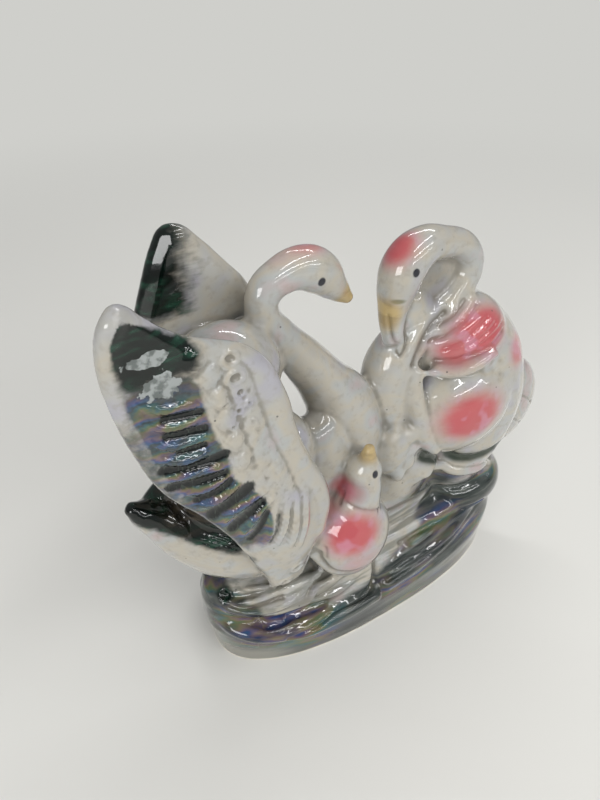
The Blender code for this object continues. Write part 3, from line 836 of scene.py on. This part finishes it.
class Wash:
    """One socket of the glaze. Arithmetic on washes adds Math nodes to the glaze's tree."""

    def __init__(self, tree, socket=None):
        self.tree = tree
        self.socket = socket

    def node(self, kind, settings=None, inputs=None, output=0):
        """Add a node, set it up, fill or link its sockets, and give one of its outputs."""
        made = self.tree.nodes.new(kind)
        for name, value in (settings or {}).items():
            if name == "stops":
                for place, colour in value[len(made.color_ramp.elements):]:
                    made.color_ramp.elements.new(place)
                for stop, (place, colour) in zip(made.color_ramp.elements, value):
                    stop.position = place
                    stop.color = colour
            else:
                setattr(made, name, value)
        for key, value in (inputs or {}).items():
            if isinstance(value, Wash):
                self.tree.links.new(value.socket, made.inputs[key])
            else:
                made.inputs[key].default_value = value
        return Wash(self.tree, made.outputs[output])

    def math(self, operation, *values, clamp=False):
        inputs = dict(enumerate(values))
        return self.node("ShaderNodeMath", {"operation": operation, "use_clamp": clamp}, inputs)

    def __add__(self, other):
        return self.math("ADD", self, other)

    __radd__ = __add__

    def __sub__(self, other):
        return self.math("SUBTRACT", self, other)

    def __rsub__(self, other):
        return self.math("SUBTRACT", other, self)

    def __mul__(self, other):
        return self.math("MULTIPLY", self, other)

    __rmul__ = __mul__

    def between(self, low, high):
        """0 at low, 1 at high and smooth between."""
        return self.node("ShaderNodeMapRange", {"interpolation_type": "SMOOTHSTEP"},
                         {"Value": self, "From Min": low, "From Max": high})

    def over(self, under, amount):
        """This colour laid over another by an amount."""
        return self.node("ShaderNodeMix", {"data_type": "RGBA"},
                         {0: amount, 6: under, 7: self}, output=2)


glaze = bpy.data.materials.new("lustre_glaze")
glaze.use_nodes = True
glaze.node_tree.nodes.clear()
brush = Wash(glaze.node_tree)
place = brush.node("ShaderNodeTexCoord", output=3)
place = brush.node("ShaderNodeVectorMath", {"operation": "SCALE"}, {0: place, 3: 1 / mm})
side_x = brush.node("ShaderNodeSeparateXYZ", inputs={0: place}, output=0)
height = brush.node("ShaderNodeSeparateXYZ", inputs={0: place}, output=2)


def stored(name):
    """A value kept on the skin, as a wash."""
    return brush.node("ShaderNodeAttribute", {"attribute_name": name}, output=2)


def cloud(size, detail=3.0, stretch=(1, 1, 1), turn=(0, 0, 0)):
    """Noise of about 0 to 1, with patches about size millimetres across."""
    laid = brush.node("ShaderNodeMapping", {}, {0: place, 2: turn,
                                                3: tuple(1 / (size * s) for s in stretch)})
    return brush.node("ShaderNodeTexNoise", {}, {"Vector": laid, "Scale": 1.0, "Detail": detail})


def colour(red, green, blue):
    """A plain colour as a wash."""
    return brush.node("ShaderNodeMix", {"data_type": "RGBA"},
                      {0: 0.0, 6: pigment(red, green, blue), 7: pigment(red, green, blue)}, output=2)


def spot(centre, reach, edge=0.25):
    """A painted spot about a place, with an edge as soft as asked."""
    away = brush.node("ShaderNodeVectorMath", {"operation": "SUBTRACT"}, {0: place, 1: centre})
    away = brush.node("ShaderNodeVectorMath", {"operation": "DIVIDE"}, {0: away, 1: reach})
    length = brush.node("ShaderNodeVectorMath", {"operation": "LENGTH"}, {0: away}, output=1)
    return length.between(1 + edge, 1 - edge)


def spots(places):
    """Several painted spots as one wash, from (centre, reach, edge) places."""
    painted = spot(*places[0])
    for place_of_one in places[1:]:
        painted = painted.math("MAXIMUM", painted, spot(*place_of_one))
    return painted


rose_dose = stored("rose")
green_dose = stored("bottle_green")
quill_dose = stored("quill_zone")
crest_dose = stored("crest")
recess_dose = stored("recess")
water_dose = stored("water")
cavity_shade_dose = stored("hollow")

pearl = brush.node("ShaderNodeValToRGB", {"stops": [
    (0.30, pigment(161, 160, 166)), (0.40, pigment(165, 164, 159)), (0.50, pigment(171, 165, 152)),
    (0.60, pigment(163, 165, 163)), (0.72, pigment(171, 156, 154)),
]}, {0: cloud(13, 2.0)})
grey_grain = cloud(2.2, 4.0)
skin_colour = colour(146, 143, 134).over(pearl, grey_grain.between(0.50, 0.72) * 0.45)
# Painted shade: darker where the skin curves inward, and in the creases and recesses below
skin_colour = colour(122, 118, 108).over(skin_colour, cavity_shade_dose.between(0.03, 0.55) * 0.8)
skin_colour = colour(84, 78, 68).over(skin_colour, stored("shade") * 0.75)

rainbow_stops = {"stops": [
    (0.00, pigment(34, 50, 58)), (0.14, pigment(36, 82, 122)), (0.28, pigment(62, 72, 122)),
    (0.42, pigment(114, 92, 106)), (0.56, pigment(126, 112, 80)), (0.68, pigment(92, 108, 66)),
    (0.82, pigment(40, 94, 100)), (1.00, pigment(34, 50, 58)),
]}

# Water: dark glaze in long streaks, with patches of rainbow lustre
flow = cloud(1.8, 4.0, (10, 3, 1), (0, 0.16, 0))
wide_flow = cloud(4.5, 3.0, (6, 2.5, 1), (0, 0.16, 0))
water_colour = brush.node("ShaderNodeValToRGB", {"stops": [
    (0.32, pigment(12, 18, 18)), (0.46, pigment(36, 43, 42)), (0.58, pigment(66, 71, 68)),
    (0.74, pigment(118, 120, 114)),
]}, {0: flow * 0.6 + wide_flow * 0.4})
rainbow_phase = wide_flow * 2.2 + flow * 0.8
water_rainbow = brush.node("ShaderNodeValToRGB", rainbow_stops,
                           {0: rainbow_phase.math("FRACT", rainbow_phase)})
lustre_patches = cloud(9, 2.0, (3, 1.5, 1)).between(0.42, 0.62)
water_colour = water_rainbow.over(water_colour, lustre_patches * 0.60)
low_rim = height.between(11, 3) * side_x.between(-36, -54)
water_colour = colour(148, 146, 136).over(water_colour, low_rim * 0.8)
water_colour = colour(112, 112, 106).over(water_colour, height.between(6, 2) * 0.4)
skin_colour = water_colour.over(skin_colour, (water_dose + (flow - 0.5) * 0.6).between(0.15, 0.85))
foam_grey = height.between(46, 38) * flow.between(0.44, 0.60) * 0.65
skin_colour = colour(104, 106, 98).over(skin_colour, foam_grey * (1 - water_dose))
# Dark green in the crevice under the right swan's folded wing: the glaze's green, laid darker as
# painted shade
skin_colour = colour(40, 50, 40).over(skin_colour, stored("crevice").between(0.0, 0.7) * 0.95)
glassy_wave = spot((-34, -19, 28), (11, 6, 4.5), 0.5)
skin_colour = colour(118, 114, 102).over(skin_colour, glassy_wave * (1 - water_dose) * 0.8)

# Quills: grey glaze with rainbow lustre on the ridges, and near-black hatched paint in the hollows,
# darkened there as painted shade
film_phase = stored("film") + cloud(4, 3.0, (2, 1, 1)) * 2.2
quill_rainbow = brush.node("ShaderNodeValToRGB", rainbow_stops,
                           {0: film_phase.math("FRACT", film_phase)})
hatch = cloud(1.0, 2.0, (0.5, 1, 2.2), (0, 0.6, 0))
quill_base = colour(60, 62, 62).over(colour(22, 27, 30), grey_grain.between(0.38, 0.62))
quill_colour = quill_rainbow.over(quill_base, (crest_dose * 0.8 + 0.25) * 0.85)
zone_edge = (quill_dose + (grey_grain - 0.5) * 0.7).between(0.2, 0.8)
skin_colour = quill_colour.over(skin_colour, zone_edge * 0.92)
# Near-black hatching in the quill hollows: dark paint, partly painted shade
hatching_and_shade = colour(46, 54, 48).over(colour(10, 15, 15), hatch.between(0.52, 0.70))
skin_colour = hatching_and_shade.over(skin_colour, (recess_dose + (hatch - 0.5) * 0.5).between(0.28, 0.68))

# Bottle green on wing tips and tail, brown on the top of the tail, grey where it flaked off
strokes = cloud(2.2, 4.0, (4, 2, 1), (0, -0.25, 0))
deep_green = brush.node("ShaderNodeValToRGB", {"stops": [
    (0.38, pigment(3, 8, 6)), (0.52, pigment(7, 20, 15)), (0.64, pigment(22, 54, 41)),
    (0.80, pigment(62, 88, 76)),
]}, {0: strokes * 0.8 + grey_grain * 0.2})
green_edge = (green_dose + (strokes - 0.5) * 0.9 + (grey_grain - 0.5) * 0.3).between(0.12, 0.80)
skin_colour = deep_green.over(skin_colour, green_edge)
brown_gloss = colour(26, 24, 20).over(colour(62, 56, 46), strokes.between(0.40, 0.60))
skin_colour = brown_gloss.over(skin_colour, stored("tail").between(0.5, 1.0) * height.between(70, 76)
                               * side_x.between(-78, -71))
flaked = spots([((-75.5, -18, 141), (6, 6, 2.0), 0.6), ((-73.5, -18, 134), (5, 6, 4.0), 0.6)])
flakes = (flaked * 0.6 + cloud(1.9, 2.0) * 0.8).between(0.80, 0.84)
flake_grey = colour(158, 163, 162).over(colour(104, 110, 108), grey_grain.between(0.40, 0.58))
skin_colour = flake_grey.over(skin_colour, flakes * 0.85)

# Rose on crowns, folded wings and the cygnet
petals = cloud(2.4, 3.0, (3.5, 3, 1), (0, -0.5, 0))
rose_tone = colour(176, 72, 78).over(colour(176, 116, 116), rose_dose.between(0.40, 0.95))
rose_tone = colour(186, 128, 150).over(rose_tone, cloud(6, 1.0).between(0.52, 0.66) * 0.55)
skin_colour = rose_tone.over(skin_colour, (rose_dose * 1.08 + (petals - 0.5) * 0.55 * rose_dose)
                             .between(0.02, 1.05) * 0.92)
young_shadow = spot((-20.5, -18, 73), (5, 6, 4.5), 0.5)
skin_colour = colour(128, 76, 76).over(skin_colour, young_shadow * 0.55)

# Beaks, eyes and kiln specks
nostrils = spots([((3.1, side * 4.9, 125.5), (2.2, 2.0, 0.8), 0.5) for side in (-1, 1)])
skin_colour = colour(104, 102, 72).over(skin_colour, nostrils * 0.8)
beaks = spots([
    ((-12.5, 0, 130.5), (5.2, 6, 5.5), 0.35), ((2.2, -1, 120.5), (4.0, 5.5, 5.5), 0.4),
    ((-14.3, -18.5, 86), (3.4, 3.5, 4.6), 0.4),
])
ochre = colour(176, 152, 98).over(colour(146, 124, 78), petals.between(0.40, 0.60))
skin_colour = ochre.over(skin_colour, beaks * 0.85)
eye_places = [(-24.1, -5.6, 139.4), (-24.1, 5.6, 139.4), (7.2, -6.8, 134.3), (7.2, 6.8, 134.3),
              (-14.2, -22.4, 79.5)]
eyes = spots([(centre, (1.1, 1.6, 1.3), 0.25) for centre in eye_places])
skin_colour = colour(20, 22, 34).over(skin_colour, eyes)
speck_cells = brush.node("ShaderNodeTexVoronoi", {}, {"Vector": place, "Scale": 0.17})
specks = speck_cells.between(0.065, 0.035)
skin_colour = colour(60, 58, 60).over(skin_colour, specks * 0.7)

# The ground foot is bare
bare = height.between(0.9, 0.3)
skin_colour = colour(214, 208, 196).over(skin_colour, bare)

peel = cloud(2.0, 2.0)
bump = brush.node("ShaderNodeBump", {}, {"Strength": 0.25, "Distance": 0.00012, "Height": peel})
shader = glaze.node_tree.nodes.new("ShaderNodeBsdfPrincipled")
for name, value in (
    ("Base Color", skin_colour),
    ("Roughness", bare * 0.6 + 0.14),
    ("Metallic", quill_dose * 0.15),
    ("Coat Weight", 1 - bare),
    ("Normal", bump),
):
    glaze.node_tree.links.new(value.socket, shader.inputs[name])
shader.inputs["IOR"].default_value = 1.5
shader.inputs["Specular IOR Level"].default_value = 0.15
shader.inputs["Coat Roughness"].default_value = 0.035
shader.inputs["Coat IOR"].default_value = 1.43
output = glaze.node_tree.nodes.new("ShaderNodeOutputMaterial")
glaze.node_tree.links.new(shader.outputs[0], output.inputs[0])
finished.materials.append(glaze)

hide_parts("swan_figurine")
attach(figurine, "root")

# The studio
# A pale sheet under the figurine that fades to a plain tone far away, four long tube lamps, a
# soft window at one side and an even pale room.
floor_mesh = bpy.data.meshes.new("floor")
sheet = bmesh.new()
bmesh.ops.create_grid(sheet, x_segments=1, y_segments=1, size=6.0)
sheet.to_mesh(floor_mesh)
sheet.free()
floor = bpy.data.objects.new("floor", floor_mesh)
bpy.context.scene.collection.objects.link(floor)
paper = bpy.data.materials.new("paper")
paper.use_nodes = True
paper_shader = paper.node_tree.nodes["Principled BSDF"]
paper_shader.inputs["Base Color"].default_value = pigment(219, 218, 213)
paper_shader.inputs["Roughness"].default_value = 0.8
sheet_wash = Wash(paper.node_tree)
spread = sheet_wash.node("ShaderNodeTexCoord", output=3)
spread = sheet_wash.node("ShaderNodeVectorMath", {"operation": "LENGTH"}, {0: spread}, output=1)
seen = sheet_wash.node("ShaderNodeLightPath")
far_paper = sheet_wash.node("ShaderNodeEmission", {}, {"Color": pigment(207, 207, 203)})
paper_output = paper.node_tree.nodes["Material Output"]
joined = sheet_wash.node("ShaderNodeMixShader", {}, {
    0: spread.between(0.22, 0.80) * seen,
    1: Wash(paper.node_tree, paper_shader.outputs[0]), 2: far_paper})
paper.node_tree.links.new(joined.socket, paper_output.inputs[0])
floor_mesh.materials.append(paper)

world = bpy.data.worlds.new("room")
world.use_nodes = True
sky = world.node_tree.nodes["Background"]
sky.inputs["Color"].default_value = pigment(226, 227, 228)
sky.inputs["Strength"].default_value = 0.38
room = Wash(world.node_tree)
backdrop = room.node("ShaderNodeBackground", {}, {"Color": pigment(207, 207, 203)})
seen = room.node("ShaderNodeLightPath")
walls = room.node("ShaderNodeMixShader", {}, {0: seen, 1: Wash(room.tree, sky.outputs[0]),
                                             2: backdrop})
room.tree.links.new(walls.socket, world.node_tree.nodes["World Output"].inputs[0])
bpy.context.scene.world = world

lamp_distance = 1.1
lamp_aim_height = 0.08
tube_length = 1.0
tube_width = 0.03
window_width = 0.5
window_height = 0.4


def add_lamp(name, direction, length, width, power):
    """A lamp that faces the figurine, its length level."""
    lamp = bpy.data.lights.new(name, "AREA")
    lamp.shape = "RECTANGLE"
    lamp.size = length
    lamp.size_y = width
    lamp.energy = power
    holder = bpy.data.objects.new(name, lamp)
    bpy.context.scene.collection.objects.link(holder)
    aim = Vector(direction).normalized()
    holder.matrix_world = (Matrix.Translation(aim * lamp_distance + Vector((0, 0, lamp_aim_height)))
                           @ aim.to_track_quat("Z", "Y").to_matrix().to_4x4())


for name, direction, power in (
    ("front_tube", (0.25, -0.80, 0.60), 2.9),
    ("low_tube", (0.24, -0.89, 0.32), 1.6),
    ("upper_tube", (0.20, -0.45, 0.87), 4.0),
    ("back_tube", (0.42, 0.37, 0.83), 3.7),
):
    add_lamp(name, direction, tube_length, tube_width, power)
add_lamp("window", (-0.85, -0.50, 0.28), window_width, window_height, 5.8)

view_azimuth = math.radians(-32)
view_elevation = math.radians(38)
view_depth = 0.253
aim_right = 0.02315
aim_down = 0.06904
back = Vector((math.sin(view_azimuth) * math.cos(view_elevation),
               -math.cos(view_azimuth) * math.cos(view_elevation), math.sin(view_elevation)))
right = (-back).cross(Vector((0, 0, 1))).normalized()
up = back.cross(right)
camera_data = bpy.data.cameras.new("camera")
camera = bpy.data.objects.new("camera", camera_data)
bpy.context.scene.collection.objects.link(camera)
camera.matrix_world = (
    Matrix.Translation(back * view_depth - right * aim_right + up * aim_down)
    @ Matrix((right, up, back)).transposed().to_4x4()
)
camera_data.sensor_width = 36.0
camera_data.lens = 27.045
camera_data.clip_start = 0.01
bpy.context.scene.camera = camera
bpy.context.scene.view_settings.view_transform = "Standard"
